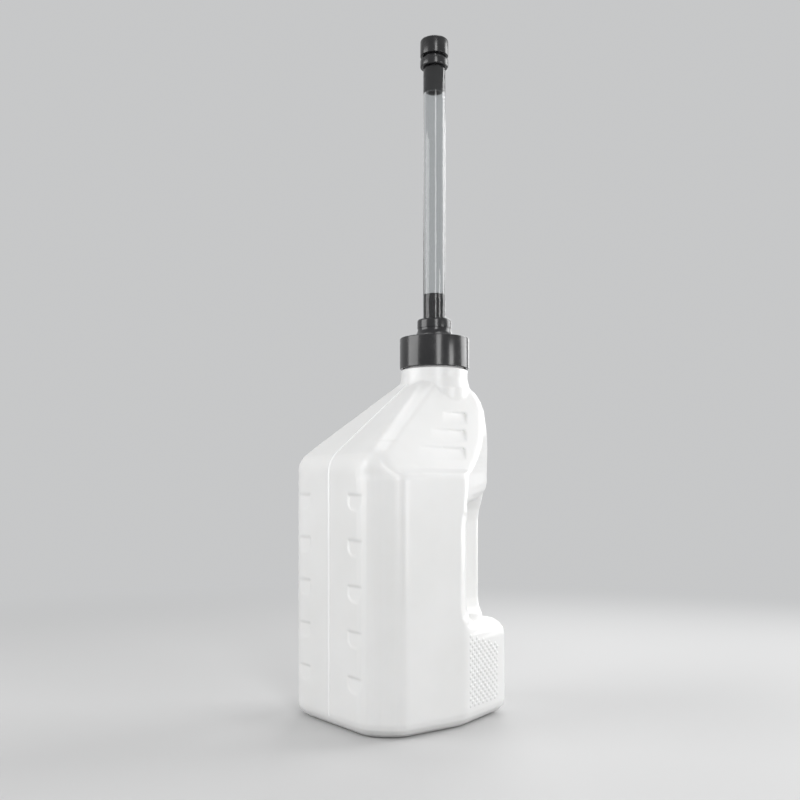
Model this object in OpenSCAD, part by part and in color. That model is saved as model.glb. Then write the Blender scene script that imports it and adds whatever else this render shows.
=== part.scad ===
// Utility jug: a hollow blow-moulded jug with a grip bar at the rear, a screw cap with a
// moulded hose spout, a clear filler hose, and the barbed tip and small cap that close it.
// X runs across the width, the graduated front faces -Y, Z is up, and the origin lies
// under the middle of the base.

/* [Jug body] */
// Width across the side faces
body_width = 184; // [160:1:210]
// Depth from the parting line on the front to the rear face
body_depth = 200; // [185:1:225]
// Wall thickness of the moulding
wall = 3; // [2:0.1:4]
// Radius round the bottom edge
base_round = 15; // [10:1:22]
// Depth of the recessed panel under the base
base_recess = 2.5; // [1:0.5:4]
// Width of the flat rim round that panel
base_rim = 10; // [6:1:16]
// Front corner facet, measured along the front face
facet_front = 24; // [16:1:30]
// Front corner facet, measured along the side face
facet_side = 29; // [20:1:36]
// Length of the flat side face behind the front corner facet
side_flat = 85; // [70:1:95]
// Width of the rear face below the handle
rear_width = 127; // [110:1:140]
// Width of the rear face above the handle
upper_rear_width = 64; // [50:1:90]

/* [Shoulder] */
// Height of the waist line on the sides
waist_height = 268; // [266:1:274]
// How far the leaning side panels start inside the side faces
waist_inset = 9; // [5:0.5:12]
// Height at which the front face breaks into the slope
break_height = 283; // [278:1:292]
// Height at which the shoulder reaches the neck
shoulder_height = 372; // [355:1:385]
// Width left between the side panels at the neck
panel_top_width = 60; // [50:1:72]
// Facet between the slope and a side panel
slope_facet = 10; // [6:1:14]
// Height at which the rear face starts to round towards the neck
rear_round_height = 298; // [292:1:320]

/* [Handle] */
// Floor of the finger opening
opening_floor = 108; // [95:1:120]
// Roof of the finger opening
opening_roof = 238; // [225:1:240]
// Width of the grip bar
bar_width = 36; // [26:1:42]
// Depth of the grip bar
bar_depth = 34.5; // [26:0.5:40]
// Finger room between the bar and the wall in front of it
finger_gap = 32; // [26:1:36]
// Rounding of the ledge below the opening
ledge_round = 18; // [10:1:20]
// Rounding of the brow above the opening
brow_round = 22; // [12:1:24]
// How far the opening's front edge comes forward at the side faces
rim_flare = 27; // [18:1:32]

/* [Relief] */
// Height of the parting line on the front
seam_height = 0.9; // [0.4:0.1:1.5]
// Width of the parting line
seam_width = 2.2; // [1:0.1:4]
// Height of the top edge of the lowest graduation tab
tab_low = 60; // [45:1:70]
// Spacing of the graduation tabs
tab_pitch = 46.7; // [40:0.1:50]
// Graduation tabs on each half of the front
tab_count = 5; // [3:1:5]
// Height of a graduation tab
tab_height = 17; // [10:1:22]
// Depth of a graduation tab
tab_depth = 1.4; // [0.8:0.1:1.8]
// Rounding of a graduation tab's lower inner corner
tab_round = 12; // [4:1:14]
// Distance from the parting line to a graduation tab
tab_start = 36; // [28:1:45]
// Grip notches on each side panel
notch_count = 3; // [1:1:3]
// Height of the top edge of the lowest grip notch
notch_low = 297; // [292:1:300]
// Spacing of the grip notches
notch_pitch = 20; // [18:0.5:22]
// Height of a grip notch
notch_height = 14; // [8:1:16]
// Depth of a grip notch at its rear end
notch_depth = 3.2; // [1:0.1:4]

/* [Neck] */
// Distance of the neck axis behind the middle of the base
neck_offset = 45; // [35:1:55]
// Radius of the neck collar below the cap
collar_radius = 38; // [34:0.5:42]
// Height of the collar above the shoulder
collar_length = 16; // [10:0.5:24]
// Radius of the neck under the cap's thread
finish_radius = 33.5; // [30:0.5:35]
// Radius of the mouth
mouth_radius = 30; // [25:0.5:31]
// Height of the neck above the collar
finish_length = 28.5; // [22:0.5:34]

/* [Jug cap] */
// Outside radius of the cap
cap_radius = 39.6; // [38.5:0.1:44]
// Gap between the collar and the cap's lower rim
cap_rim_gap = 1.7; // [0.5:0.1:3]
// Running gap between the neck and the cap's inside
thread_gap = 2.6; // [1.5:0.1:3]
// Thickness of the cap's top
cap_top = 6.2; // [3:0.1:8]
// Thickness of the gasket
gasket_thickness = 2; // [1:0.1:3]
// Radius of the spout's flared foot
flare_radius = 30; // [24:0.5:34]
// Height of the flared foot
flare_height = 11; // [6:0.5:14]
// Radius of the stop bead
bead_radius = 19.5; // [15:0.5:22]
// Height of the stop bead
bead_height = 11; // [6:0.5:14]

/* [Hose] */
// Outside diameter of the hose
hose_outer = 25.4; // [22:0.1:30]
// Bore of the hose
hose_inner = 19; // [16:0.1:20]
// Length of the hose
hose_length = 289; // [150:1:400]
// Length of each barbed stem inside the hose
stem_length = 29; // [20:1:45]
// Bore of both stems
stem_bore = 14; // [10:0.5:14.5]
// Barbs on each stem
barb_count = 4; // [2:1:6]
// Gap between a barb's crest and the hose
barb_gap = 0.1; // [0.05:0.05:0.3]
// Depth of a barb
barb_depth = 0.9; // [0.3:0.1:1]

/* [Hose tip and cap] */
// Radius of the tip's flange and of the hose cap
tip_radius = 16.1; // [14:0.1:20]
// Height of the tip's flange
tip_flange = 9; // [5:0.5:12]
// Radius of the spigot that carries the hose cap
spigot_radius = 12.2; // [10.5:0.1:13]
// Length of the spigot
spigot_length = 18.5; // [14:0.5:24]
// Gap between the flange and the hose cap
tip_gap = 4; // [2:0.5:6]
// Running gap between the spigot and the hose cap
tip_thread_gap = 1; // [0.6:0.1:1.2]
// Thickness of the hose cap's top
tip_cap_top = 3; // [2:0.1:5]
// Thickness of the hose cap's seal
tip_seal = 1.5; // [1:0.1:2]

/* [Hidden] */
$fn = 96;

moulded_white = [0.93, 0.93, 0.92];
moulded_black = [0.05, 0.05, 0.055];
clear_vinyl = [0.82, 0.86, 0.88, 0.35];
seal_grey = [0.25, 0.25, 0.26];

half_width = body_width / 2;
front = seam_height - body_depth / 2;
rear = body_depth / 2;
side_end = front + facet_side + side_flat;
bar_front = rear - bar_depth;
wall_behind = bar_front - finger_gap;
neck_front = neck_offset - collar_radius;
shoulder_drop = 2;
slope_run = (neck_front - front) / (shoulder_height - shoulder_drop - break_height);
collar_height = shoulder_height + collar_length;
mouth_height = collar_height + finish_length;
cap_underside = mouth_height + gasket_thickness;
cap_height = cap_underside + cap_top;
cap_inner = finish_radius + thread_gap;
bead_base = cap_height + flare_height;
hose_base = bead_base + bead_height;
hose_top = hose_base + hose_length;
spigot_base = hose_top + tip_flange;
spigot_top = spigot_base + spigot_length;
tip_cap_base = spigot_base + tip_gap;
tip_cap_height = spigot_top + tip_seal + tip_cap_top;
stem_radius = hose_inner / 2 - barb_gap;
seal_clearance = 0.4;
over = 1;

// Roundings of the body's section, from the front corner to the rear corner
front_edge = 16;
facet_edge = 9;
flank_edge = 7;
rear_edge = 12;
edge_share = 0.45;
corner_points = 4;
break_round = 14;
waist_round = 5;
facet_rise = 6;
facet_spread = [-2, 4];
// How fast the rear face narrows over the ledge and the crown, and how far the crown reaches
ledge_taper = 0.6;
crown_taper = 0.45;
crown_reach = 0.8;
flank_least = 12;
panel_bow = 8;
bow_share = 0.65;
// How much of the wall the corner facets and the flank follow on the inside
facet_follow = 0.4;
flank_follow = 0.3;
// Finger opening: rounded front corners, bowed front wall, and the rounded rim at the sides
opening_corner = 26;
wall_bow = [2, 7];
bow_end = 24;
rim_depth = [8, 4, 2];
rim_share = [0.47, 0.65, 0.8];
rim_fall = 7;
fall_share = [0, 0.25, 0.5];
opening_reach = 20;
// Grip bar: rounding, and how it spreads into the ledge and the brow
bar_edge = [10, 7];
bar_flush = 0.4;
bar_root = 2;
foot_spread = [9, 7, 2];
foot_steps = [8, 18];
head_spread = [2, 7, 12];
head_steps = [22, 10, 3];
// Neck: how far it runs down inside the body, its flare, its edge, and the wall left inside
neck_depth = 32;
neck_flare = 3;
flare_steps = [6, 1, 6];
neck_edge = 1;
neck_wall = 4;
// Grip notches: place and length along the panel, and how each one above is moved and shortened
notch_rear = 14;
notch_shift = 10;
notch_length = 63;
notch_shorter = 15;
notch_curve = 0.8;
notch_lean = 0.4;
notch_cover = 4;
notch_points = 4;
notch_least = 0.02;
// Graduation tabs: depth left at their foot
tab_foot = 0.35;
// Parting line: how much it rises over the slope and how deep it is rooted in the wall
seam_lean = 0.6;
seam_root = 2;
// Hose fittings: land behind a barb, step under the stop bead, and lap of the gasket over the mouth
barb_land = 0.15;
bead_step = 0.5;
gasket_lap = 2;

function unit(v) = v / norm(v);

// Points round a corner that is cut back along both of its sides
function rounded(before, corner, after, back, n) =
    let (a = corner + back * unit(before - corner), b = corner + back * unit(after - corner))
    [for (i = [0:n]) let (t = i / n) (1 - t) * (1 - t) * a + 2 * t * (1 - t) * corner + t * t * b];

// A closed outline with rounded corners, none of which takes up half of a side
function closed_outline(corners, backs, n) =
    let (m = len(corners))
    [for (i = [0:m - 1])
        let (before = corners[(i + m - 1) % m], corner = corners[i], after = corners[(i + 1) % m])
        each rounded(before, corner, after,
            min(backs[i], edge_share * norm(before - corner), edge_share * norm(after - corner)), n)];

// How far a quarter-round edge stands in at a height above its start
function edge_inset(h, r) = h >= r ? 0 : r - sqrt(max(0, r * r - (r - h) * (r - h)));

// Solid skin over rings of points that turn counter-clockwise about the stacking direction
module skin(rings) {
    n = len(rings[0]);
    last = len(rings) - 1;
    sides = [for (j = [0:last - 1], i = [0:n - 1])
        let (a = j * n + i, b = j * n + (i + 1) % n)
        each [[a, a + n, b + n], [a, b + n, b]]];
    foot = [for (i = [0:n - 1]) i];
    head = [for (i = [n - 1:-1:0]) last * n + i];
    polyhedron(points = [for (r = rings) each r], faces = concat(sides, [foot, head]));
}

// Profiles of the body over its height, as pairs of height and place
slope_top = [shoulder_height, front + slope_run * (shoulder_height - break_height)];
waist_top = [waist_height + waist_round, half_width - waist_inset];
front_profile = concat([[0, front]],
    rounded([0, front], [break_height, front], slope_top, break_round, corner_points), [slope_top]);
side_profile = concat([[0, half_width]],
    rounded([0, half_width], [waist_height, half_width], waist_top, waist_round, corner_points),
    [waist_top, [shoulder_height, panel_top_width / 2]]);
facet_top = break_height + facet_rise;
facet_kept = facet_front - waist_inset;
facet_front_profile = [[0, facet_front], [waist_height, facet_front], [waist_top[0], facet_kept],
    [facet_top, slope_facet], [shoulder_height, slope_facet + facet_spread[0]]];
facet_side_profile = [[0, facet_side], [waist_height, facet_side],
    [waist_top[0], facet_side * facet_kept / facet_front], [facet_top, slope_facet],
    [shoulder_height, slope_facet + facet_spread[1]]];

// Inset of the rear faces at the ledge below and the brow above the finger opening
opening_middle = (opening_floor + opening_roof) / 2;
function ledge_inset(z) =
    z <= opening_floor ? edge_inset(opening_floor - z, ledge_round)
    : z >= opening_roof ? edge_inset(z - opening_roof, brow_round)
    : z < opening_middle ? ledge_round : brow_round;
function rear_drop(z) =
    let (t = (z - rear_round_height) / (shoulder_height - shoulder_drop - rear_round_height))
    t <= 0 ? 0 : 1 - sqrt(max(0, 1 - t * t));
function rear_half(z) = z < opening_middle ? rear_width / 2 : upper_rear_width / 2;
rear_top = neck_offset + crown_reach * collar_radius;
// How far the leaning panel's rear edge bows backwards over the waist
function panel_bulge(z) =
    let (t = (z - waist_height) / (bow_share * (shoulder_height - waist_height)))
    t <= 0 || t >= 1 ? 0 : panel_bow * sin(180 * t);

// Corners of the body's section at one height, moved inwards by an inset
function body_corners(z, inset) =
    let (
        w_full = lookup(z, side_profile),
        w = w_full - inset,
        f = lookup(z, front_profile) + inset,
        ledge = ledge_inset(z),
        drop = rear_drop(z),
        b = rear - ledge - drop * (rear - rear_top) - inset,
        r = (rear_half(z) - ledge_taper * ledge) * (1 - crown_taper * drop) - inset,
        lean = (half_width - w_full) / (half_width - rear_half(z)),
        k = side_end + lean * (rear - side_end) + panel_bulge(z),
        side = min(k, b - flank_least) - flank_follow * inset,
        cx = lookup(z, facet_front_profile) - facet_follow * inset,
        cy = lookup(z, facet_side_profile) - facet_follow * inset
    )
    [[w - cx, f], [w, f + cy], [w, side], [r, b], [-r, b], [-w, side], [-w, f + cy], [cx - w, f]];
body_backs = [front_edge, facet_edge, flank_edge, rear_edge, rear_edge, flank_edge, facet_edge, front_edge];
function body_outline(z, inset) = closed_outline(body_corners(z, inset), body_backs, corner_points);
function body_ring(place, z, inset) = [for (p = body_outline(z, inset)) [p.x, p.y, place]];

base_steps = [0, 22.5, 45, 67.5, 90];
edge_steps = [0, 22.5, 45, 67.5, 90];
slope_rings = 8;
heights = concat(
    [for (a = edge_steps) opening_floor - ledge_round * (1 - sin(a))],
    [for (a = edge_steps) opening_roof + brow_round * (1 - cos(a))],
    [waist_height - waist_round, waist_height, waist_height + waist_round],
    [break_height - waist_round, break_height, facet_top],
    [for (i = [1:slope_rings]) facet_top + (shoulder_height - facet_top) * i / slope_rings]);

// The space inside sinks by the wall, but rises over the brow, which faces down
function inner_lift(z) =
    z < opening_middle ? -1 : lookup(z, [[opening_roof, 1], [waist_height - waist_round, -1]]);

// The whole outer form of the moulding, or with an inset the space inside it
module body_form(inset, foot) {
    r = base_round - inset;
    base = [for (a = base_steps) let (h = r * (1 - cos(a)))
        body_ring(foot + h, foot + h, inset + edge_inset(h, r))];
    skin(concat(base, [for (z = heights) body_ring(z + inset * inner_lift(z), z, inset)]));
}

// Finger opening from side to side, grown by a wall thickness for the space inside
module finger_opening(grow) {
    reach = half_width + opening_reach;
    places = concat([-reach, -half_width], [for (i = [2, 1, 0]) rim_depth[i] - half_width],
        [bow_end - half_width, -half_width / 3]);
    steps = concat(places, [for (i = [len(places) - 1:-1:0]) -places[i]]);
    forward = concat([[0, 0], [half_width / 3, wall_bow[0]], [half_width - bow_end, wall_bow[1]]],
        [for (i = [0:2]) [half_width - rim_depth[i], rim_share[i] * rim_flare]],
        [[half_width, rim_flare], [reach, rim_flare + opening_reach]]);
    fall = concat([[0, 0]], [for (i = [0:2]) [half_width - rim_depth[i], fall_share[i] * rim_fall]],
        [[half_width, rim_fall], [reach, rim_fall + opening_reach]]);
    beyond = rear + opening_reach;
    roof_z = opening_roof + grow;
    skin([for (x = steps)
        let (f = wall_behind - lookup(abs(x), forward) - grow,
            floor_z = opening_floor - lookup(abs(x), fall) - grow)
        [for (p = concat(
            rounded([f, roof_z], [f, floor_z], [beyond, floor_z], opening_corner, corner_points),
            [[beyond, floor_z], [beyond, roof_z]],
            rounded([beyond, roof_z], [f, roof_z], [f, floor_z], opening_corner, corner_points)))
            [x, p.x, p.y]]]);
}

// Grip bar behind the opening, flared where it grows out of the body
module grip_bar(inset) {
    foot = opening_floor - ledge_round - bar_root;
    head = opening_roof + brow_round + bar_root;
    spread = [[foot, foot_spread[0]], [opening_floor, foot_spread[1]],
        [opening_floor + foot_steps[0], foot_spread[2]], [opening_floor + foot_steps[1], 0],
        [opening_roof - head_steps[0], 0], [opening_roof - head_steps[1], head_spread[0]],
        [opening_roof + head_steps[2], head_spread[1]], [head, head_spread[2]]];
    backs = [bar_edge[0], bar_edge[1], bar_edge[1], bar_edge[0]];
    skin([for (s = spread)
        let (w = bar_width / 2 + s[1] - inset, f = bar_front - s[1] + inset, b = rear - bar_flush - inset)
        [for (p = closed_outline([[w, f], [w, b], [-w, b], [-w, f]], backs, corner_points))
            [p.x, p.y, s[0]]]]);
}

module at_neck() {
    translate([0, neck_offset, 0]) children();
}

module neck() {
    bore = mouth_radius - neck_wall;
    foot = shoulder_height - neck_depth;
    at_neck() rotate_extrude()
        polygon([[bore, foot], [collar_radius + neck_flare, foot],
            [collar_radius + neck_flare, shoulder_height - flare_steps[0]],
            [collar_radius + neck_flare / 3, shoulder_height + flare_steps[1]],
            [collar_radius, shoulder_height + flare_steps[2]], [collar_radius, collar_height - neck_edge],
            [collar_radius - neck_edge, collar_height], [finish_radius, collar_height],
            [finish_radius, mouth_height - neck_edge], [finish_radius - neck_edge, mouth_height],
            [bore, mouth_height]]);
}

// Ridge left by the mould's parting line up the front and the slope
module parting_line() {
    line = [for (p = front_profile) if (p[0] > 0) [p[1], p[0]]];
    path = concat([[front, base_round]], line);
    outer = [for (p = path) p + [-seam_height, seam_lean * seam_height]];
    inner = [for (i = [len(path) - 1:-1:0]) path[i] + [seam_root, -seam_root]];
    rotate([90, 0, 90]) linear_extrude(height = seam_width, center = true)
        polygon(concat(outer, inner));
}

// Shallow recesses beside the parting line that run out at their foot and at the front corner facets
module graduation_tabs() {
    reach = half_width - facet_front / 2;
    low = -tab_height;
    tab_tilt = atan((tab_depth - tab_foot) / tab_height);
    shape = concat([[reach, 0], [tab_start, 0]],
        rounded([tab_start, 0], [tab_start, low], [reach, low], tab_round, corner_points), [[reach, low]]);
    for (i = [0:tab_count - 1], side = [0, 1])
        mirror([side, 0, 0]) translate([0, front + tab_depth, tab_low + i * tab_pitch])
            rotate([90 - tab_tilt, 0, 0]) linear_extrude(height = 2 * tab_depth + over) polygon(shape);
}

// Scoops in the leaning panels that deepen towards their rear end and their top edge
module grip_notches() {
    for (i = [0:notch_count - 1], side = [0, 1]) {
        top = notch_low + i * notch_pitch;
        low = top - notch_height;
        outer = lookup(top, side_profile);
        lower = lookup(low, side_profile);
        rear_end = neck_offset - notch_rear + notch_shift * i;
        length = notch_length - notch_shorter * i;
        steps = [for (j = [0:notch_points]) j / notch_points];
        mirror([side, 0, 0]) skin([for (t = steps)
            let (y = rear_end - length * (1 - t), depth = notch_depth * max(t, notch_least),
                back = notch_lean * notch_height)
            concat([[outer + notch_cover, y, top], [lower + notch_cover, y - back, low]],
                [for (u = steps) [lower + (outer - lower) * u - depth * pow(u, notch_curve),
                    y - back * (1 - u), low + notch_height * u]])]);
    }
}

module base_panel() {
    ring = body_outline(0, base_round + base_rim);
    translate([0, 0, -over]) linear_extrude(height = base_recess + over) polygon(ring);
}

module jug_body() {
    color(moulded_white) difference() {
        union() {
            difference() {
                body_form(0, 0);
                finger_opening(0);
            }
            grip_bar(0);
            neck();
            parting_line();
        }
        difference() {
            body_form(wall, wall + base_recess);
            finger_opening(wall);
        }
        grip_bar(wall);
        at_neck() translate([0, 0, shoulder_height - neck_depth - over])
            cylinder(r = mouth_radius, h = mouth_height - shoulder_height + neck_depth + 2 * over);
        graduation_tabs();
        grip_notches();
        base_panel();
    }
}

// Saw-tooth side of a barbed stem, from its root to its tip along a direction
function barbs(root, way) = [for (i = [0:barb_count - 1])
    let (step = way * stem_length / barb_count)
    each [[stem_radius, root + step * (i + barb_land)], [stem_radius - barb_depth, root + step * (i + 1)]]];

module jug_cap() {
    edge = 1.2;
    bead_round = 3;
    flare = [for (i = [0:6]) let (a = 15 * i)
        [bead_radius - bead_step + (flare_radius - bead_radius + bead_step) * (1 - sin(a)),
         cap_height + flare_height * (1 - cos(a))]];
    bead = concat([[bead_radius, bead_base + bead_step]],
        [for (a = [0:30:90]) [bead_radius - bead_round * (1 - cos(a)),
            hose_base - bead_round * (1 - sin(a))]]);
    outside = concat([[cap_inner, collar_height + cap_rim_gap], [cap_radius, collar_height + cap_rim_gap],
        [cap_radius, cap_height - edge], [cap_radius - edge, cap_height]], flare, bead);
    stem = concat([[stem_radius - barb_depth, hose_base]], barbs(hose_base, 1));
    inside = [[stem_bore / 2, hose_base + stem_length], [stem_bore / 2, cap_underside],
        [cap_inner, cap_underside]];
    color(moulded_black) at_neck() rotate_extrude() polygon(concat(outside, stem, inside));
}

module cap_gasket() {
    color(seal_grey) at_neck() translate([0, 0, mouth_height]) difference() {
        cylinder(r = cap_inner - seal_clearance, h = gasket_thickness);
        translate([0, 0, -over]) cylinder(r = mouth_radius - gasket_lap, h = gasket_thickness + 2 * over);
    }
}

module filler_hose() {
    color(clear_vinyl) at_neck() translate([0, 0, hose_base]) difference() {
        cylinder(d = hose_outer, h = hose_length);
        translate([0, 0, -over]) cylinder(d = hose_inner, h = hose_length + 2 * over);
    }
}

module hose_tip() {
    edge = 1;
    stem = barbs(hose_top, -1);
    outside = concat([for (i = [len(stem) - 1:-1:0]) stem[i]],
        [[stem_radius - barb_depth, hose_top], [tip_radius - 2 * edge, hose_top],
         [tip_radius, hose_top + edge], [tip_radius, spigot_base - edge],
         [tip_radius - edge, spigot_base], [spigot_radius, spigot_base],
         [spigot_radius, spigot_top - edge], [spigot_radius - edge, spigot_top]]);
    inside = [[stem_bore / 2, spigot_top], [stem_bore / 2, hose_top - stem_length]];
    color(moulded_black) at_neck() rotate_extrude() polygon(concat(outside, inside));
}

module hose_cap() {
    bore = spigot_radius + tip_thread_gap;
    top_round = 3;
    edge = 0.6;
    crown = [for (a = [0:22.5:90]) [tip_radius - top_round * (1 - cos(a)),
        tip_cap_height - top_round * (1 - sin(a))]];
    color(moulded_black) at_neck() rotate_extrude()
        polygon(concat([[bore, tip_cap_base], [tip_radius - edge, tip_cap_base],
            [tip_radius, tip_cap_base + edge]], crown,
            [[0, tip_cap_height], [0, spigot_top + tip_seal], [bore, spigot_top + tip_seal]]));
}

module hose_cap_seal() {
    color(seal_grey) at_neck() translate([0, 0, spigot_top]) difference() {
        cylinder(r = spigot_radius + tip_thread_gap - seal_clearance, h = tip_seal);
        translate([0, 0, -over]) cylinder(d = stem_bore, h = tip_seal + 2 * over);
    }
}

jug_body();
jug_cap();
cap_gasket();
filler_hose();
hose_tip();
hose_cap();
hose_cap_seal();
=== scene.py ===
import math

import bmesh
import bpy
from mathutils import Matrix, Vector
from mathutils.bvhtree import BVHTree


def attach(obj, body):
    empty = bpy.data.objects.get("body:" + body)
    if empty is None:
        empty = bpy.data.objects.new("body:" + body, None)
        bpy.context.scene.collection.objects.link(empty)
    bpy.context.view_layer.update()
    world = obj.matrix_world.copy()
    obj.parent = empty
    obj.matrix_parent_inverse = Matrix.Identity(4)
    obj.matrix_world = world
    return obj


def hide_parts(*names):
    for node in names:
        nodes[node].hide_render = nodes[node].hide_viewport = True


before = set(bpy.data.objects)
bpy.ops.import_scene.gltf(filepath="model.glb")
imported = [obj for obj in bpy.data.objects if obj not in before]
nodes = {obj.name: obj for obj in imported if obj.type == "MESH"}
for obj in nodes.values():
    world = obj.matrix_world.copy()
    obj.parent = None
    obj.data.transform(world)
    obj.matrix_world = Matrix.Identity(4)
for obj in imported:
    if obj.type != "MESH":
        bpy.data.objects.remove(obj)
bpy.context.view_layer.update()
scene = bpy.context.scene
neckAxis = Vector((0.0, 0.045, 0.0))
mm = 0.001
print("frame loaded:", sorted(nodes))


def facing(direction):
    return Vector(direction).to_track_quat("-Z", "Y").to_euler()


# camera, level and beside the jug, as the photograph was taken
cameraSettings = {
    "place": (0.8396, -0.637, 0.251),
    "look": (-0.7986, 0.6018, 0.0),
    "lens": 42.3,
    "sensor": 36.0,
    "shiftY": 0.1125,
}


def makeCamera(settings):
    data = bpy.data.cameras.new("jugCamera")
    data.lens = settings["lens"]
    data.sensor_width = settings["sensor"]
    data.shift_y = settings["shiftY"]
    camera = bpy.data.objects.new("jugCamera", data)
    scene.collection.objects.link(camera)
    camera.location = settings["place"]
    camera.rotation_euler = facing(settings["look"])
    scene.camera = camera


makeCamera(cameraSettings)
scene.view_settings.view_transform = "Standard"


# studio: pale floor, a softbox behind the right side, soft lamps all round
studioSettings = {
    "floorColour": (0.62, 0.62, 0.62, 1.0),
    "bounceColour": (0.28, 0.28, 0.28, 1.0),
    "floorRough": 0.65,
    "floorRadius": 12.0,
    "floorSides": 96,
    "skyColour": (0.60, 0.605, 0.61, 1.0),
    "skyLevel": 0.42,
    "seenLevel": 0.95,
    "fade": (0.45, 1.5),
    "lamps": [  # name, place, aim, width, height, power
        ("sideSoftbox", (0.30, 1.52, 0.76), (0.0, 0.05, 0.40), 0.95, 1.45, 17.5),
        ("frontFill", (-0.70, -1.60, 0.75), (0.0, 0.0, 0.22), 1.3, 1.3, 20.5),
        ("cameraFill", (1.46, -0.62, 0.82), (0.0, 0.0, 0.40), 0.38, 1.45, 11.0),
        ("sideFill", (1.50, 0.55, 0.38), (0.0, 0.02, 0.25), 0.40, 0.7, 5.7),
        ("overhead", (-0.20, 0.25, 2.0), (-0.10, -0.03, 0.3), 1.40, 0.35, 6.0),
        ("rearFill", (-1.20, 1.30, 0.90), (0.0, 0.0, 0.25), 0.9, 0.9, 7.0),
    ],
}


def raysThatSee(tree):
    # rays from the camera, straight or by way of gloss and glass
    path = tree.nodes.new("ShaderNodeLightPath")
    found = path.outputs["Is Camera Ray"]
    for kind in ("Is Glossy Ray", "Is Transmission Ray"):
        most = tree.nodes.new("ShaderNodeMath")
        most.operation = "MAXIMUM"
        tree.links.new(found, most.inputs[0])
        tree.links.new(path.outputs[kind], most.inputs[1])
        found = most.outputs[0]
    return found


def makeSky(settings):
    world = bpy.data.worlds.new("studioSky")
    scene.world = world
    world.use_nodes = True
    tree = world.node_tree
    sky = tree.nodes["Background"]
    sky.inputs["Color"].default_value = settings["skyColour"]
    sky.inputs["Strength"].default_value = settings["skyLevel"]
    seen = tree.nodes.new("ShaderNodeBackground")
    seen.inputs["Color"].default_value = settings["skyColour"]
    seen.inputs["Strength"].default_value = settings["seenLevel"]
    mix = tree.nodes.new("ShaderNodeMixShader")
    tree.links.new(raysThatSee(tree), mix.inputs[0])
    tree.links.new(sky.outputs[0], mix.inputs[1])
    tree.links.new(seen.outputs[0], mix.inputs[2])
    tree.links.new(mix.outputs[0], tree.nodes["World Output"].inputs["Surface"])


def makeLamps(settings):
    for name, place, aim, width, height, power in settings["lamps"]:
        lamp = bpy.data.lights.new(name, "AREA")
        lamp.shape = "RECTANGLE"
        lamp.size = width
        lamp.size_y = height
        lamp.energy = power
        holder = bpy.data.objects.new(name, lamp)
        scene.collection.objects.link(holder)
        holder.location = place
        holder.rotation_euler = facing(Vector(aim) - Vector(place))
        holder.visible_camera = False
        holder.visible_transmission = False  # so that no lamp glows through the clear hose


def makeFloorPaint(settings):
    paint = bpy.data.materials.new("floorPaint")
    paint.use_nodes = True
    tree = paint.node_tree
    surface = tree.nodes["Principled BSDF"]
    surface.inputs["Roughness"].default_value = settings["floorRough"]
    sees = raysThatSee(tree)
    # pale to look at, but it throws little light back up
    shade = tree.nodes.new("ShaderNodeMix")
    shade.data_type = "RGBA"
    shade.inputs["A"].default_value = settings["bounceColour"]
    shade.inputs["B"].default_value = settings["floorColour"]
    tree.links.new(sees, shade.inputs["Factor"])
    tree.links.new(shade.outputs["Result"], surface.inputs["Base Color"])
    # the floor fades into the plain background away from the jug
    place = tree.nodes.new("ShaderNodeTexCoord")
    away = tree.nodes.new("ShaderNodeVectorMath")
    away.operation = "LENGTH"
    tree.links.new(place.outputs["Object"], away.inputs[0])
    fade = tree.nodes.new("ShaderNodeMapRange")
    fade.interpolation_type = "SMOOTHSTEP"
    fade.inputs["From Min"].default_value = settings["fade"][0]
    fade.inputs["From Max"].default_value = settings["fade"][1]
    tree.links.new(away.outputs["Value"], fade.inputs["Value"])
    seenOnly = tree.nodes.new("ShaderNodeMath")
    seenOnly.operation = "MULTIPLY"
    tree.links.new(fade.outputs[0], seenOnly.inputs[0])
    tree.links.new(sees, seenOnly.inputs[1])
    glow = tree.nodes.new("ShaderNodeEmission")
    glow.inputs["Color"].default_value = settings["skyColour"]
    glow.inputs["Strength"].default_value = settings["seenLevel"]
    mix = tree.nodes.new("ShaderNodeMixShader")
    tree.links.new(seenOnly.outputs[0], mix.inputs[0])
    tree.links.new(surface.outputs[0], mix.inputs[1])
    tree.links.new(glow.outputs[0], mix.inputs[2])
    tree.links.new(mix.outputs[0], tree.nodes["Material Output"].inputs["Surface"])
    return paint


def makeFloor(settings):
    bm = bmesh.new()
    bmesh.ops.create_circle(bm, cap_ends=True, segments=settings["floorSides"],
                            radius=settings["floorRadius"])
    mesh = bpy.data.meshes.new("studioFloor")
    bm.to_mesh(mesh)
    bm.free()
    mesh.materials.append(makeFloorPaint(settings))
    floor = bpy.data.objects.new("studioFloor", mesh)
    scene.collection.objects.link(floor)


makeSky(studioSettings)
makeLamps(studioSettings)
makeFloor(studioSettings)
print("studio ready")


# materials
noiseSpan = (0.3, 0.7)  # the part of a noise's range that its values mostly lie in


def newFinish(name, colour, roughness):
    finish = bpy.data.materials.new(name)
    finish.use_nodes = True
    tree = finish.node_tree
    surface = tree.nodes["Principled BSDF"]
    surface.inputs["Base Color"].default_value = (*colour, 1.0)
    surface.inputs["Roughness"].default_value = roughness
    place = tree.nodes.new("ShaderNodeTexCoord").outputs["Object"]
    return finish, tree, surface, place


def noiseFrom(tree, place, scale, detail, rough=0.5):
    noise = tree.nodes.new("ShaderNodeTexNoise")
    noise.inputs["Scale"].default_value = scale
    noise.inputs["Detail"].default_value = detail
    noise.inputs["Roughness"].default_value = rough
    tree.links.new(place, noise.inputs["Vector"])
    return noise.outputs["Fac"]


def spread(tree, source, low, high):
    span = tree.nodes.new("ShaderNodeMapRange")
    span.inputs["From Min"].default_value = noiseSpan[0]
    span.inputs["From Max"].default_value = noiseSpan[1]
    span.inputs["To Min"].default_value = low
    span.inputs["To Max"].default_value = high
    tree.links.new(source, span.inputs["Value"])
    return span.outputs[0]


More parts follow.
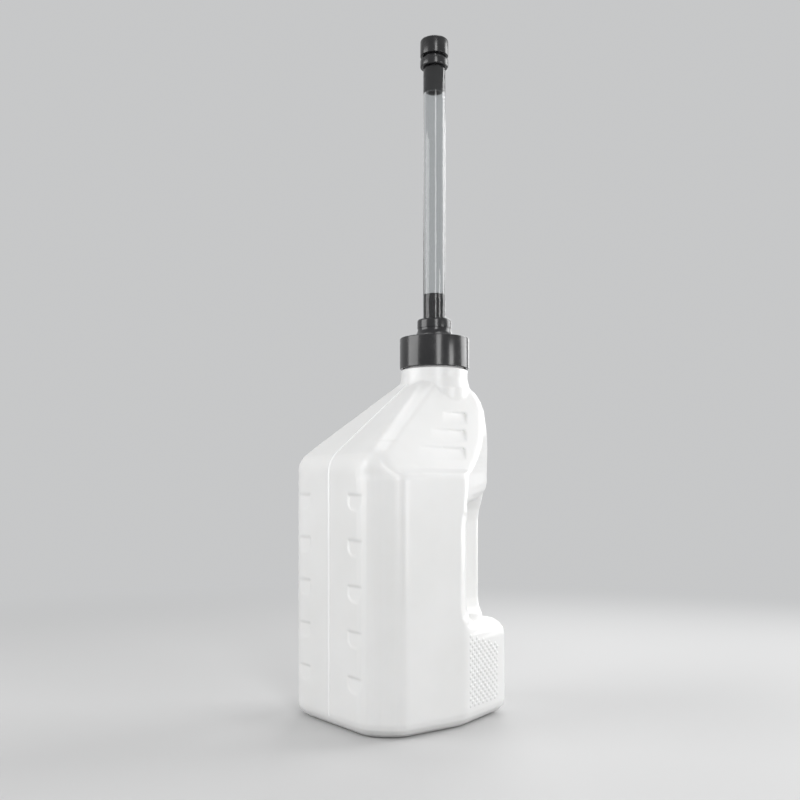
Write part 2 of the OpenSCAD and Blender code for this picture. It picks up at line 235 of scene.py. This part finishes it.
def tint(tree, source, dark, light):
    ramp = tree.nodes.new("ShaderNodeValToRGB")
    ends = ramp.color_ramp.elements
    for end, position, colour in zip(ends, noiseSpan, (dark, light)):
        end.position = position
        end.color = (*colour, 1.0)
    tree.links.new(source, ramp.inputs[0])
    return ramp.outputs[0]


def bumpFrom(tree, source, strength, distance, under=None):
    bump = tree.nodes.new("ShaderNodeBump")
    bump.inputs["Strength"].default_value = strength
    bump.inputs["Distance"].default_value = distance
    tree.links.new(source, bump.inputs["Height"])
    if under is not None:
        tree.links.new(under, bump.inputs["Normal"])
    return bump.outputs[0]


def paintWith(tree, surface, settings, colourNoise, roughNoise):
    colour = tint(tree, colourNoise, settings["dark"], settings["light"])
    tree.links.new(colour, surface.inputs["Base Color"])
    tree.links.new(spread(tree, roughNoise, *settings["rough"]), surface.inputs["Roughness"])


def letLightIn(surface, settings):
    surface.inputs["Subsurface Weight"].default_value = settings["glow"]
    surface.inputs["Subsurface Radius"].default_value = settings["glowReach"]
    surface.inputs["Subsurface Scale"].default_value = settings["glowScale"]


polyethylene = {
    "dark": (0.80, 0.80, 0.79),
    "light": (0.86, 0.86, 0.855),
    "rough": (0.28, 0.34),
    "plainRough": 0.36,
    "cloud": (9.0, 4.0),
    "wear": (26.0, 2.0),
    "wave": (14.0, 1.0),
    "waveBump": (0.10, 0.002),
    "grain": (1400.0, 3.0),
    "grainBump": (0.10, 0.0002),
    "glow": 0.12,
    "glowReach": (0.006, 0.0055, 0.005),
    "glowScale": 1.0,
    "ior": 1.52,
}


def makePolyethylene(settings):
    finish, tree, surface, place = newFinish("satinPolyethylene", settings["light"],
                                             settings["plainRough"])
    cloud = noiseFrom(tree, place, *settings["cloud"])
    wear = noiseFrom(tree, place, *settings["wear"])
    paintWith(tree, surface, settings, cloud, wear)
    wave = noiseFrom(tree, place, *settings["wave"])
    soft = bumpFrom(tree, wave, *settings["waveBump"])
    grain = noiseFrom(tree, place, *settings["grain"])
    skin = bumpFrom(tree, grain, *settings["grainBump"], soft)
    tree.links.new(skin, surface.inputs["Normal"])
    letLightIn(surface, settings)
    surface.inputs["IOR"].default_value = settings["ior"]
    return finish


partingPaintedHighlight = {  # the thin parting line is smoother than the wall around it; its colour is lighter than the wall's, a painted highlight along the ridge
    "dark": (0.95, 0.95, 0.945),
    "light": (0.98, 0.98, 0.975),
    "rough": (0.14, 0.22),
    "plainRough": 0.2,
    "cloud": (30.0, 3.0),
    "glow": 0.12,
    "glowReach": (0.006, 0.0055, 0.005),
    "glowScale": 1.0,
}


def makePartingFinish(settings):
    finish, tree, surface, place = newFinish("partingPaintedHighlight", settings["light"],
                                             settings["plainRough"])
    cloud = noiseFrom(tree, place, *settings["cloud"])
    paintWith(tree, surface, settings, cloud, cloud)
    letLightIn(surface, settings)
    return finish


glossBlack = {
    "dark": (0.010, 0.010, 0.011),
    "light": (0.017, 0.017, 0.018),
    "rough": (0.16, 0.27),
    "plainRough": 0.2,
    "cloud": (40.0, 4.0),
    "haze": (120.0, 6.0, 0.65),
    "grain": (900.0, 2.0),
    "grainBump": (0.05, 0.0002),
    "coat": 0.15,
    "coatRough": 0.08,
}


def makeGlossBlack(settings):
    finish, tree, surface, place = newFinish("glossBlackMoulding", settings["light"],
                                             settings["plainRough"])
    cloud = noiseFrom(tree, place, *settings["cloud"])
    haze = noiseFrom(tree, place, *settings["haze"])
    paintWith(tree, surface, settings, cloud, haze)
    grain = noiseFrom(tree, place, *settings["grain"])
    tree.links.new(bumpFrom(tree, grain, *settings["grainBump"]), surface.inputs["Normal"])
    surface.inputs["Coat Weight"].default_value = settings["coat"]
    surface.inputs["Coat Roughness"].default_value = settings["coatRough"]
    return finish


clearVinyl = {
    "colour": (0.765, 0.78, 0.785),
    "rough": (0.02, 0.05),
    "plainRough": 0.05,
    "stretch": (1.0, 1.0, 0.03),
    "lines": (160.0, 3.0),
    "ior": 1.45,
}


def makeClearVinyl(settings):
    finish, tree, surface, place = newFinish("clearVinyl", settings["colour"],
                                             settings["plainRough"])
    surface.inputs["Transmission Weight"].default_value = 1.0
    surface.inputs["IOR"].default_value = settings["ior"]
    draw = tree.nodes.new("ShaderNodeMapping")  # faint lines along the drawn tube
    draw.inputs["Scale"].default_value = settings["stretch"]
    tree.links.new(place, draw.inputs["Vector"])
    lines = noiseFrom(tree, draw.outputs[0], *settings["lines"])
    tree.links.new(spread(tree, lines, *settings["rough"]), surface.inputs["Roughness"])
    return finish


sealRubber = {
    "dark": (0.020, 0.020, 0.021),
    "light": (0.038, 0.038, 0.040),
    "rough": (0.62, 0.82),
    "plainRough": 0.7,
    "dust": (300.0, 5.0),
    "dustBump": (0.15, 0.0002),
}


def makeSealRubber(settings):
    finish, tree, surface, place = newFinish("sealRubber", settings["light"],
                                             settings["plainRough"])
    dust = noiseFrom(tree, place, *settings["dust"])
    paintWith(tree, surface, settings, dust, dust)
    tree.links.new(bumpFrom(tree, dust, *settings["dustBump"]), surface.inputs["Normal"])
    return finish


whiteFinish = makePolyethylene(polyethylene)
partingFinish = makePartingFinish(partingPaintedHighlight)
blackFinish = makeGlossBlack(glossBlack)
clearFinish = makeClearVinyl(clearVinyl)
rubberFinish = makeSealRubber(sealRubber)
print("materials ready")


# shared making
cornerSteps = 5
mergeGap = 1e-6
farFront = -0.3  # rays that look for the front of the jug start here


def finishPiece(bm, name, finish, body, sharpAngle):
    mesh = bpy.data.meshes.new(name)
    bm.to_mesh(mesh)
    bm.free()
    mesh.materials.append(finish)
    mesh.shade_smooth()
    mesh.set_sharp_from_angle(angle=math.radians(sharpAngle))
    piece = bpy.data.objects.new(name, mesh)
    scene.collection.objects.link(piece)
    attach(piece, body)
    return piece


def latheProfile(points, rounding, closed=True):
    # profile of (radius, height) in mm, with the corners named in rounding cut round
    bm = bmesh.new()
    made = [bm.verts.new((r * mm, 0.0, z * mm)) for r, z in points]
    for a, b in zip(made, made[1:]):
        bm.edges.new((a, b))
    if closed:
        bm.edges.new((made[-1], made[0]))
    sizes = {}
    for index, size in rounding.items():
        sizes.setdefault(size, []).append(made[index])
    for size, corners in sizes.items():
        bmesh.ops.bevel(bm, geom=corners, offset=size * mm, offset_type="OFFSET",
                        affect="VERTICES", segments=cornerSteps, profile=0.5, material=-1)
    return bm


def spinRound(bm, steps):
    bmesh.ops.spin(bm, geom=list(bm.verts) + list(bm.edges), cent=(0, 0, 0), axis=(0, 0, 1),
                   angle=2 * math.pi, steps=steps, use_merge=True)
    bmesh.ops.remove_doubles(bm, verts=bm.verts, dist=mergeGap)
    bmesh.ops.recalc_face_normals(bm, faces=bm.faces)
    bmesh.ops.translate(bm, verts=bm.verts, vec=neckAxis)


# jug body: the moulding's outer skin, softened as a blown wall is
jugSkin = {
    "mergeGap": 2e-6,
    "seamBand": 1.3,
    "seamBehind": 20.0,
    "seamProbe": 6.0,
    "voxel": 1.2,
    "softness": 0.5,
    "softRounds": 4,
    "blendLow": 262.0,
    "blendHigh": 302.0,
    "blendBehind": -45.0,
    "blendOutside": 50.0,
    "blendRounds": 40,
    "neckCut": 385.5,
    "cutGap": 1e-7,
    "faceLimit": 186000,
    "sharpAngle": 60,
}


def flattenSeam(bm, settings):
    # lays the sharp parting line flat, so that a rounded one can be laid along the skin
    tree = BVHTree.FromBMesh(bm)
    beside = settings["seamProbe"] * mm
    for v in bm.verts:
        if abs(v.co.x) < settings["seamBand"] * mm and v.co.y < settings["seamBehind"] * mm:
            hit = tree.ray_cast(Vector((beside, farFront, v.co.z)), Vector((0, 1, 0)))
            if hit[0] is not None and v.co.y < hit[0].y:
                v.co.y = hit[0].y


def softenedBody(settings):
    bm = bmesh.new()
    bm.from_mesh(nodes["jug_body"].data)
    bmesh.ops.remove_doubles(bm, verts=bm.verts, dist=settings["mergeGap"])
    flattenSeam(bm, settings)
    mesh = bpy.data.meshes.new("jugSkinDraft")
    bm.to_mesh(mesh)
    bm.free()
    draft = bpy.data.objects.new("jugSkinDraft", mesh)
    scene.collection.objects.link(draft)
    remesh = draft.modifiers.new("remesh", "REMESH")
    remesh.mode = "VOXEL"
    remesh.voxel_size = settings["voxel"] * mm
    remesh.adaptivity = 0.0
    soft = draft.modifiers.new("soft", "SMOOTH")
    soft.factor = settings["softness"]
    soft.iterations = settings["softRounds"]
    bpy.context.view_layer.update()
    shaped = draft.evaluated_get(bpy.context.evaluated_depsgraph_get())
    bm = bmesh.new()
    bm.from_mesh(shaped.to_mesh())
    bpy.data.objects.remove(draft)
    return bm


def blendCorners(bm, settings):
    # the corners where the facets meet the shoulder are blended further
    low, high = settings["blendLow"] * mm, settings["blendHigh"] * mm
    behind, outside = settings["blendBehind"] * mm, settings["blendOutside"] * mm
    blended = [v for v in bm.verts
               if low < v.co.z < high and v.co.y < behind and abs(v.co.x) > outside]
    for i in range(settings["blendRounds"]):
        bmesh.ops.smooth_vert(bm, verts=blended, factor=settings["softness"],
                              use_axis_x=True, use_axis_y=True, use_axis_z=True)


def keepOuterSkin(bm, settings):
    # cut at the neck, then keep what joins up with the lowest point
    bmesh.ops.bisect_plane(bm, geom=list(bm.verts) + list(bm.edges) + list(bm.faces),
                           dist=settings["cutGap"], plane_co=(0, 0, settings["neckCut"] * mm),
                           plane_no=(0, 0, 1), clear_outer=True)
    start = min(bm.verts, key=lambda v: v.co.z)
    keep = {start}
    front = [start]
    while front:
        vert = front.pop()
        for edge in vert.link_edges:
            other = edge.other_vert(vert)
            if other not in keep:
                keep.add(other)
                front.append(other)
    bmesh.ops.delete(bm, geom=[v for v in bm.verts if v not in keep], context="VERTS")
    rim = [e for e in bm.edges if e.is_boundary]
    bmesh.ops.holes_fill(bm, edges=rim, sides=0)
    bmesh.ops.recalc_face_normals(bm, faces=bm.faces)


def makeJugSkin(settings):
    bm = softenedBody(settings)
    blendCorners(bm, settings)
    keepOuterSkin(bm, settings)
    found = sum(len(f.verts) - 2 for f in bm.faces)
    piece = finishPiece(bm, "jugSkin", whiteFinish, "jug",
                        settings["sharpAngle"])
    thin = piece.modifiers.new("thin", "DECIMATE")
    thin.ratio = min(1.0, settings["faceLimit"] / found)
    thin.use_collapse_triangulate = True
    bpy.context.view_layer.update()
    thinned = piece.evaluated_get(bpy.context.evaluated_depsgraph_get())
    kept = bpy.data.meshes.new_from_object(thinned)
    piece.modifiers.clear()
    piece.data = kept
    print("jug skin triangles", found, "kept", len(kept.polygons))
    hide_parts("jug_body")
    return piece


jugPiece = makeJugSkin(jugSkin)
bmSkin = bmesh.new()
bmSkin.from_mesh(jugPiece.data)
skinTree = BVHTree.FromBMesh(bmSkin)
bmSkin.free()
print("jug skin ready")


# parting line: a low rounded ridge up the front and the slope
partingLine = {
    "halfWidth": 2.9,
    "height": 2.0,
    "sunk": 1.1,
    "low": 12.0,
    "high": 369.0,
    "steps": 120,
    "sides": 20,
    "sharpAngle": 60,
}


def partingPath(settings):
    path = []
    for i in range(settings["steps"] + 1):
        z = (settings["low"] + (settings["high"] - settings["low"]) * i / settings["steps"]) * mm
        hit = skinTree.ray_cast(Vector((0.0, farFront, z)), Vector((0, 1, 0)))
        path.append(hit[0] - hit[1] * settings["sunk"] * mm)
    smoothed = [(a + b + c) / 3 for a, b, c in zip(path, path[1:], path[2:])]
    return [path[0], *smoothed, path[-1]]


def makePartingLine(settings):
    path = partingPath(settings)
    bm = bmesh.new()
    made = bmesh.ops.create_circle(bm, cap_ends=True, segments=settings["sides"], radius=1.0)
    ring = made["verts"]
    bmesh.ops.scale(bm, verts=ring, vec=(settings["halfWidth"] * mm, settings["height"] * mm, 1.0))
    bmesh.ops.translate(bm, verts=ring, vec=path[0])
    face = bm.faces[:][0]
    turned = 0.0
    for i in range(1, len(path)):
        ahead = path[min(i + 1, len(path) - 1)] - path[i - 1]
        lean = -math.atan2(ahead.y, ahead.z)
        grown = bmesh.ops.extrude_face_region(bm, geom=[face])["geom"]
        verts = [g for g in grown if isinstance(g, bmesh.types.BMVert)]
        face = [g for g in grown if isinstance(g, bmesh.types.BMFace)][0]
        bmesh.ops.translate(bm, verts=verts, vec=path[i] - path[i - 1])
        bmesh.ops.rotate(bm, verts=verts, cent=path[i],
                         matrix=Matrix.Rotation(lean - turned, 3, "X"))
        turned = lean
    bmesh.ops.recalc_face_normals(bm, faces=bm.faces)
    finishPiece(bm, "partingLine", partingFinish, "jug", settings["sharpAngle"])


makePartingLine(partingLine)
print("parting line ready")


# grip pad: rows of small raised studs on the lower rear flanks
gripPad = {
    "flankStart": (92.0, 14.9),
    "flankEnd": (63.5, 100.0),
    "across": (0.085, 0.775),
    "low": 22.0,
    "high": 98.0,
    "drop": 18.0,
    "pitchAcross": 8.9,
    "pitchUp": 7.4,
    "radius": 2.6,
    "top": 1.0,
    "height": 0.8,
    "sunk": 0.15,
    "sides": 12,
    "standOff": 20.0,
    "probe": 50.0,
    "sharpAngle": 75,
}


def studSpots(settings, a, b):
    # places of the studs on the flank from a to b, every second column half a pitch higher
    length = (b - a).length
    first, last = (share * length for share in settings["across"])
    step, up = settings["pitchAcross"] / 2, settings["pitchUp"]
    for column in range(int((last - first) / step) + 1):
        along = first + column * step
        top = settings["high"] - settings["drop"] * (along - first) / (last - first)
        for row in range(int((settings["high"] - settings["low"]) / up) + 1):
            z = settings["low"] + (row + 0.5 * (column % 2)) * up
            if z <= top:
                yield a + (b - a) * along / length, z


def makeGripPad(settings):
    bm = bmesh.new()
    a, b = Vector(settings["flankStart"]), Vector(settings["flankEnd"])
    normal = Vector((b.y - a.y, a.x - b.x, 0.0)).normalized()
    outX, outY = settings["standOff"] * normal.x, settings["standOff"] * normal.y
    lift = settings["height"] * mm / 2 - settings["sunk"] * mm
    for side in (1, -1):
        inward = Vector((-side * normal.x, -normal.y, 0.0))
        for spot, z in studSpots(settings, a, b):
            outside = Vector((side * (spot.x + outX), spot.y + outY, z)) * mm
            hit = skinTree.ray_cast(outside, inward, settings["probe"] * mm)
            if hit[0] is None:
                continue
            turn = hit[1].to_track_quat("Z", "Y").to_matrix().to_4x4()
            bmesh.ops.create_cone(bm, cap_ends=True, segments=settings["sides"],
                                  radius1=settings["radius"] * mm, radius2=settings["top"] * mm,
                                  depth=settings["height"] * mm,
                                  matrix=Matrix.Translation(hit[0] + hit[1] * lift) @ turn)
    finishPiece(bm, "gripPad", whiteFinish, "jug", settings["sharpAngle"])


makeGripPad(gripPad)
print("grip pad ready")


# neck finish: ring above the collar with its screw thread
neckFinish = {
    "bore": 30.0,
    "outer": 33.5,
    "collar": 38.0,
    "foot": 380.0,
    "collarTop": 388.0,
    "mouth": 416.5,
    "collarEdge": 1.0,
    "mouthOutside": 0.8,
    "mouthInside": 0.6,
    "threadRise": 1.5,
    "threadSunk": 0.3,
    "threadShape": (0.9, 1.6, 2.6),
    "threadLow": 393.0,
    "threadLead": 5.0,
    "threadTurns": 3,
    "threadSteps": 72,
    "sides": 120,
    "sharpAngle": 40,
}


def makeNeckFinish(settings):
    s = settings
    points = [(s["bore"], s["foot"]), (s["collar"], s["foot"]), (s["collar"], s["collarTop"]),
              (s["outer"], s["collarTop"]), (s["outer"], s["mouth"]), (s["bore"], s["mouth"])]
    bm = latheProfile(points, {2: s["collarEdge"], 4: s["mouthOutside"], 5: s["mouthInside"]})
    spinRound(bm, s["sides"])
    finishPiece(bm, "neckFinish", whiteFinish, "jug", s["sharpAngle"])


def makeNeckThread(settings):
    s = settings
    root, crest = (s["outer"] - s["threadSunk"]) * mm, (s["outer"] + s["threadRise"]) * mm
    base = s["threadLow"] * mm
    crestLow, crestHigh, top = (base + height * mm for height in s["threadShape"])
    bm = bmesh.new()
    made = [bm.verts.new(p) for p in ((root, 0, base), (crest, 0, crestLow),
                                      (crest, 0, crestHigh), (root, 0, top))]
    loop = [bm.edges.new(ends) for ends in zip(made, made[1:] + made[:1])]
    steps = s["threadSteps"] * s["threadTurns"]
    rise = s["threadLead"] * mm * s["threadTurns"] / steps
    bmesh.ops.spin(bm, geom=made + loop, cent=(0, 0, 0), axis=(0, 0, 1),
                   angle=2 * math.pi * s["threadTurns"], steps=steps, dvec=(0, 0, rise))
    bmesh.ops.holes_fill(bm, edges=[e for e in bm.edges if e.is_boundary], sides=len(made))
    bmesh.ops.recalc_face_normals(bm, faces=bm.faces)
    bmesh.ops.translate(bm, verts=bm.verts, vec=neckAxis)
    finishPiece(bm, "neckThread", whiteFinish, "jug", s["sharpAngle"])


makeNeckFinish(neckFinish)
makeNeckThread(neckFinish)
print("neck ready")


# jug cap: cap, flared foot, stop bead and barbed spout in one turning
jugCap = {
    "outer": 39.6,
    "inner": 36.1,
    "rim": 389.7,
    "underside": 418.5,
    "top": 424.7,
    "flare": 30.0,
    "flareSteps": 8,
    "beadBase": 435.7,
    "bead": 19.5,
    "beadStep": 0.5,
    "beadLand": 0.4,
    "beadTop": 446.7,
    "stem": 9.75,
    "barb": 0.15,
    "stemTop": 475.7,
    "bore": 7.0,
    "barbs": 4,
    "rimInside": 0.5,
    "rimOutside": 0.8,
    "topEdge": 1.3,
    "flareEdge": 0.2,
    "beadEdge": 2.8,
    "sides": 144,
    "sharpAngle": 40,
}
barbLand = 0.15  # share of a barb's pitch that rises to its crest


def barbProfile(root, tip, count, crest, depth):
    pitch = (tip - root) / count
    points = []
    for i in range(count):
        points += [(crest, root + pitch * (i + barbLand)), (crest - depth, root + pitch * (i + 1))]
    return points


def flareProfile(settings):
    s = settings
    neck = s["bead"] - s["beadStep"]
    points = []
    for i in range(s["flareSteps"] + 1):
        angle = math.radians(90 * i / s["flareSteps"])
        points.append((neck + (s["flare"] - neck) * (1 - math.sin(angle)),
                       s["top"] + (s["beadBase"] - s["top"]) * (1 - math.cos(angle))))
    return points


def makeJugCap(settings):
    s = settings
    points = [(s["inner"], s["rim"]), (s["outer"], s["rim"]), (s["outer"], s["top"])]
    flareFoot = len(points)
    points += flareProfile(s)
    beadLow = len(points)
    points += [(s["bead"], s["beadBase"] + s["beadLand"]), (s["bead"], s["beadTop"]),
               (s["stem"] - s["barb"], s["beadTop"])]
    points += barbProfile(s["beadTop"], s["stemTop"], s["barbs"], s["stem"], s["barb"])
    points += [(s["bore"], s["stemTop"]), (s["bore"], s["underside"]),
               (s["inner"], s["underside"])]
    bm = latheProfile(points, {0: s["rimInside"], 1: s["rimOutside"], 2: s["topEdge"],
                               flareFoot: s["flareEdge"], beadLow + 1: s["beadEdge"]})
    spinRound(bm, s["sides"])
    piece = finishPiece(bm, "screwCap", blackFinish, "filler", s["sharpAngle"])
    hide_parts("jug_cap")


makeJugCap(jugCap)
print("jug cap ready")


# hose: clear tube with softened cut ends
fillerHose = {
    "outer": 12.7,
    "inner": 9.5,
    "low": 446.7,
    "high": 735.7,
    "edge": 0.6,
    "sides": 96,
    "sharpAngle": 40,
}


def makeFillerHose(settings):
    s = settings
    points = [(s["inner"], s["low"]), (s["outer"], s["low"]),
              (s["outer"], s["high"]), (s["inner"], s["high"])]
    bm = latheProfile(points, {i: s["edge"] for i in range(len(points))})
    spinRound(bm, s["sides"])
    piece = finishPiece(bm, "clearHose", clearFinish, "filler", s["sharpAngle"])
    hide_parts("filler_hose")


makeFillerHose(fillerHose)
print("hose ready")


# hose tip: barbed stem, flange and spigot
hoseTip = {
    "flange": 16.1,
    "low": 735.7,
    "spigotBase": 744.7,
    "spigot": 12.2,
    "top": 763.2,
    "bore": 7.0,
    "stem": 9.75,
    "barb": 0.15,
    "stemLength": 29.0,
    "barbs": 4,
    "flangeFoot": 1.6,
    "flangeTop": 1.0,
    "spigotEdge": 0.8,
    "sides": 120,
    "sharpAngle": 40,
}


def makeHoseTip(settings):
    s = settings
    stemEnd = s["low"] - s["stemLength"]
    stem = barbProfile(s["low"], stemEnd, s["barbs"], s["stem"], s["barb"])
    points = stem[::-1] + [(s["stem"] - s["barb"], s["low"])]
    first = len(points)
    points += [(s["flange"], s["low"]), (s["flange"], s["spigotBase"]),
               (s["spigot"], s["spigotBase"]), (s["spigot"], s["top"]),
               (s["bore"], s["top"]), (s["bore"], stemEnd)]
    bm = latheProfile(points, {first: s["flangeFoot"], first + 1: s["flangeTop"],
                               first + 3: s["spigotEdge"]})
    spinRound(bm, s["sides"])
    piece = finishPiece(bm, "hoseTip", blackFinish, "filler", s["sharpAngle"])
    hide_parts("hose_tip")


makeHoseTip(hoseTip)
print("hose tip ready")


# hose cap: small screw cap with a rounded crown
hoseCap = {
    "outer": 16.1,
    "bore": 13.2,
    "low": 748.7,
    "ceiling": 764.7,
    "top": 767.7,
    "crown": 2.8,
    "rimOutside": 0.6,
    "rimInside": 0.3,
    "sides": 120,
    "sharpAngle": 40,
}


def makeHoseCap(settings):
    s = settings
    points = [(0.0, s["top"]), (s["outer"], s["top"]), (s["outer"], s["low"]),
              (s["bore"], s["low"]), (s["bore"], s["ceiling"]), (0.0, s["ceiling"])]
    bm = latheProfile(points, {1: s["crown"], 2: s["rimOutside"], 3: s["rimInside"]},
                      closed=False)
    spinRound(bm, s["sides"])
    piece = finishPiece(bm, "hoseCap", blackFinish, "tip_cap", s["sharpAngle"])
    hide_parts("hose_cap")


makeHoseCap(hoseCap)
print("hose cap ready")


solidFinishes = {
    "jug_body": whiteFinish,
    "jug_cap": blackFinish,
    "cap_gasket": rubberFinish,
    "filler_hose": clearFinish,
    "hose_tip": blackFinish,
    "hose_cap": blackFinish,
    "hose_cap_seal": rubberFinish,
}
for name, finish in solidFinishes.items():
    nodes[name].data.materials.clear()
    nodes[name].data.materials.append(finish)
print("seals and solids finished")

bpy.context.view_layer.update()
